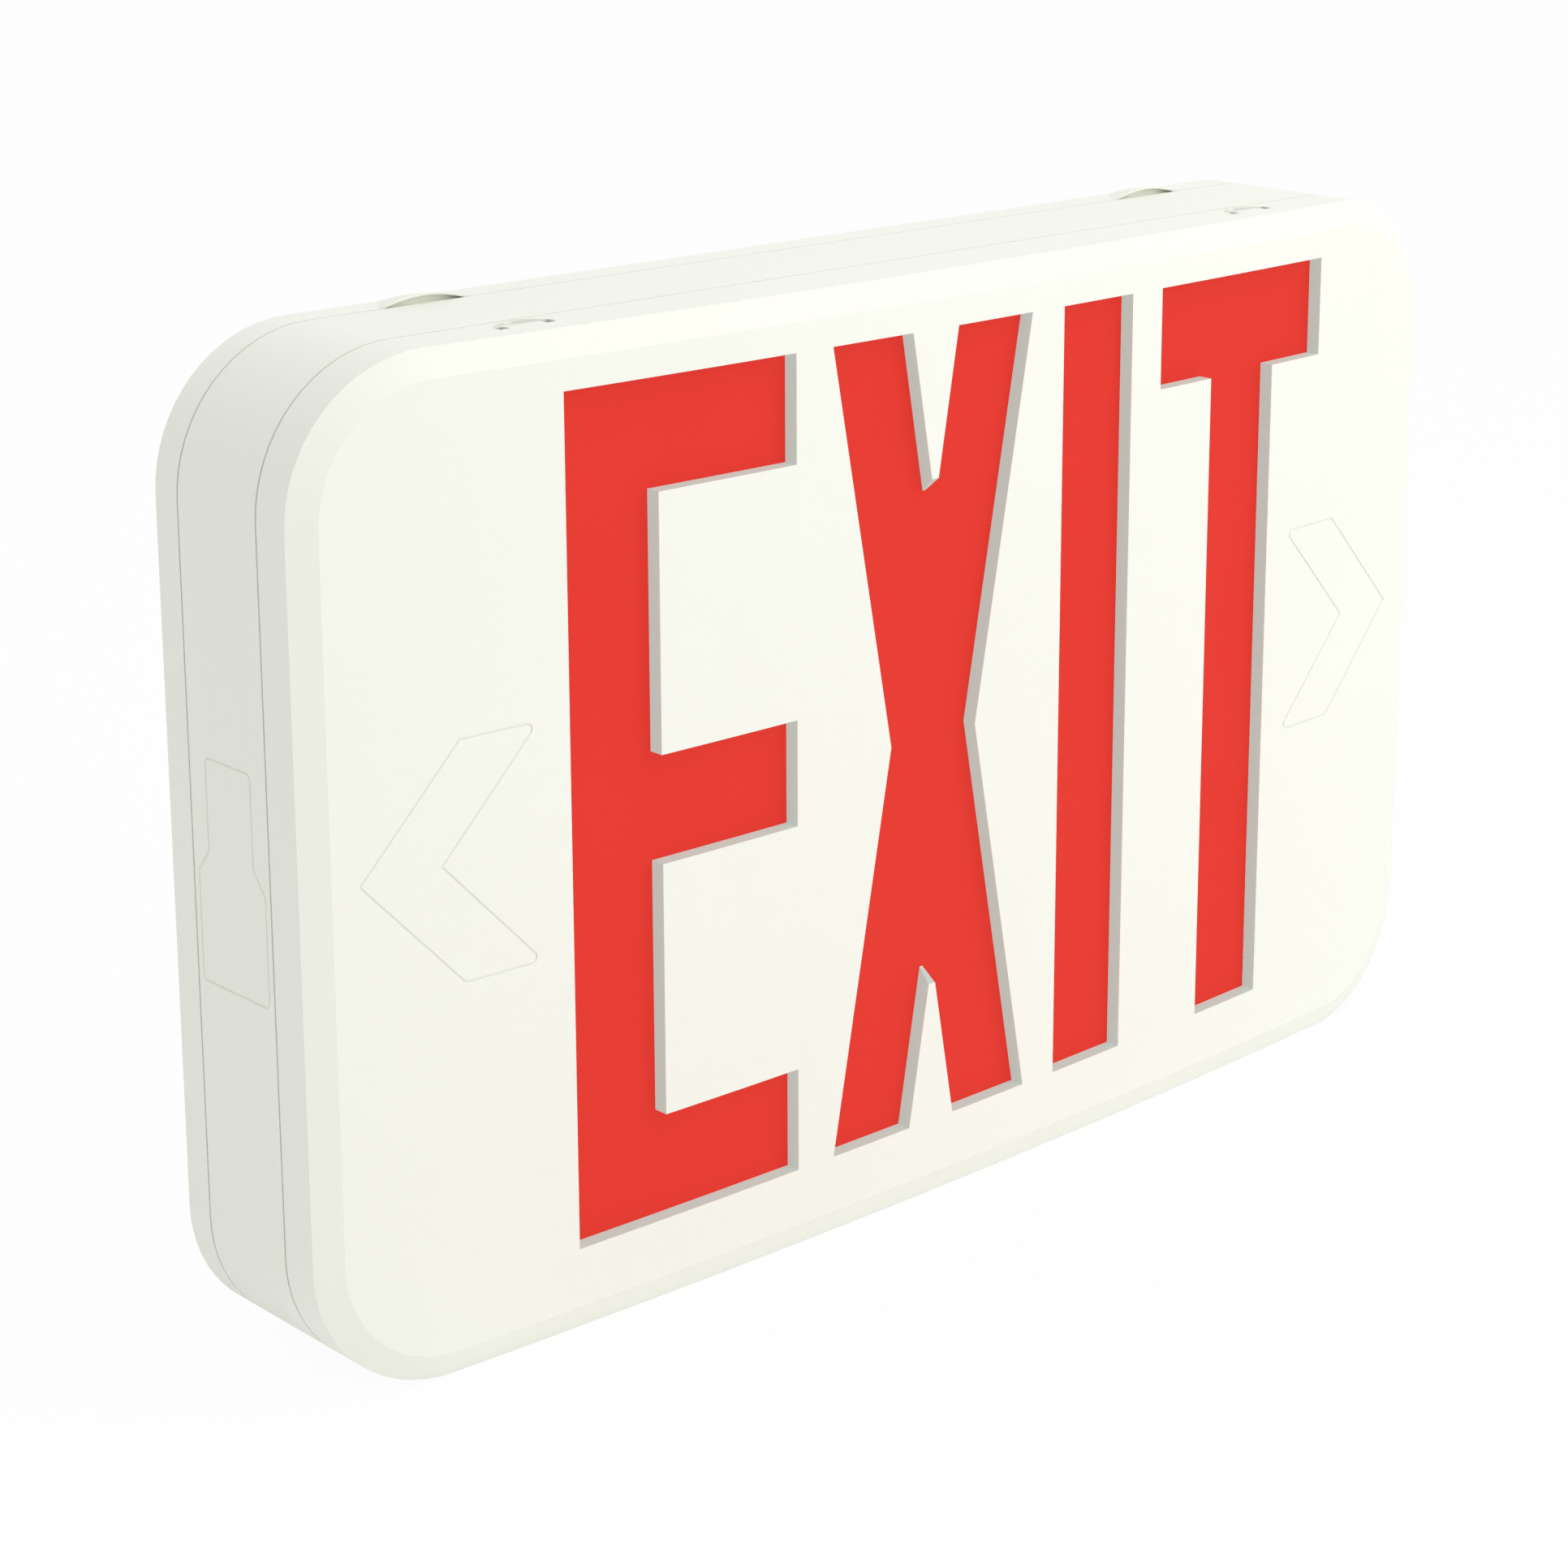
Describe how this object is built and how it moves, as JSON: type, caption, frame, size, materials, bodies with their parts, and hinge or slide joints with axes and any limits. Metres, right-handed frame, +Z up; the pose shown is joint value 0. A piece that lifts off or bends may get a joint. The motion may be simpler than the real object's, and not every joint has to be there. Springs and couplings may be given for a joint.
{
  "type": "emergency exit light",
  "caption": "Wall-mounted LED exit sign: a white clip-together housing with a bowed stencil face, a red legend panel, scored chevrons and a backup battery.",
  "frame": {"origin": "on the wall, on the axis of the wire entry in the middle of the back plate", "axes": "+X to the reader's right, +Y into the wall, +Z up; the stencil face looks along -Y"},
  "size_m": [0.283, 0.0439, 0.1799],
  "materials": {
    "white_housing": "satin white moulding",
    "white_tray": "white reflector surface",
    "red_panel": "translucent red sheet, unlit",
    "spring_steel": "plain",
    "screw_steel": "zinc plated",
    "led_board": "white solder mask",
    "led_package": "white package with a yellow well",
    "circuit_board": "green solder mask",
    "terminal_green": "moulded",
    "ceramic": "glazed body",
    "capacitor_red": "dipped box",
    "transformer_core": "varnished core",
    "capacitor_sleeve": "shrunk sleeve",
    "chip_black": "moulded package",
    "header_white": "moulded",
    "battery_sleeve": "shrunk sleeve",
    "strap_plastic": "moulded",
    "switch_black": "moulded",
    "plunger_black": "moulded",
    "button_grey": "satin",
    "charge_red": "tinted LED lens"
  },
  "bodies": {
    "housing": {"middle_frame": "white_housing", "gear_tray": "white_tray", "tray_screws": "screw_steel", "lower_led_board": "led_board", "lower_leds": "led_package", "upper_led_board": "led_board", "upper_leds": "led_package", "control_board": "circuit_board", "board_screws": "screw_steel", "mains_terminal": "terminal_green", "fuse_link": "ceramic", "film_capacitor": "capacitor_red", "transformer": "transformer_core", "electrolytic_capacitors": "capacitor_sleeve", "control_chip": "chip_black", "battery_header": "header_white", "strip_headers": "header_white", "battery_pack": "battery_sleeve", "battery_strap": "strap_plastic", "strap_screws": "screw_steel", "test_switch": "switch_black", "charge_light": "charge_red"},
    "cover": {"front_cover": "white_housing", "red_legend_panel": "red_panel", "panel_push_nuts": "spring_steel"},
    "back": {"back_plate": "white_housing"},
    "button": {"test_button": "button_grey", "switch_plunger": "plunger_black"}
  },
  "joints": [
    {"name": "cover_pull_off", "type": "slide", "parent": "housing", "child": "cover", "axis": [0, -1, 0], "range_m": [0, 0.06]},
    {"name": "back_plate_pull_off", "type": "slide", "parent": "housing", "child": "back", "axis": [0, 1, 0], "range_m": [0, 0.06]},
    {"name": "test_button_press", "type": "slide", "parent": "housing", "child": "button", "axis": [0, 0, 1], "range_m": [0, 0.0012], "stiffness_N_per_m": 1200}
  ]
}
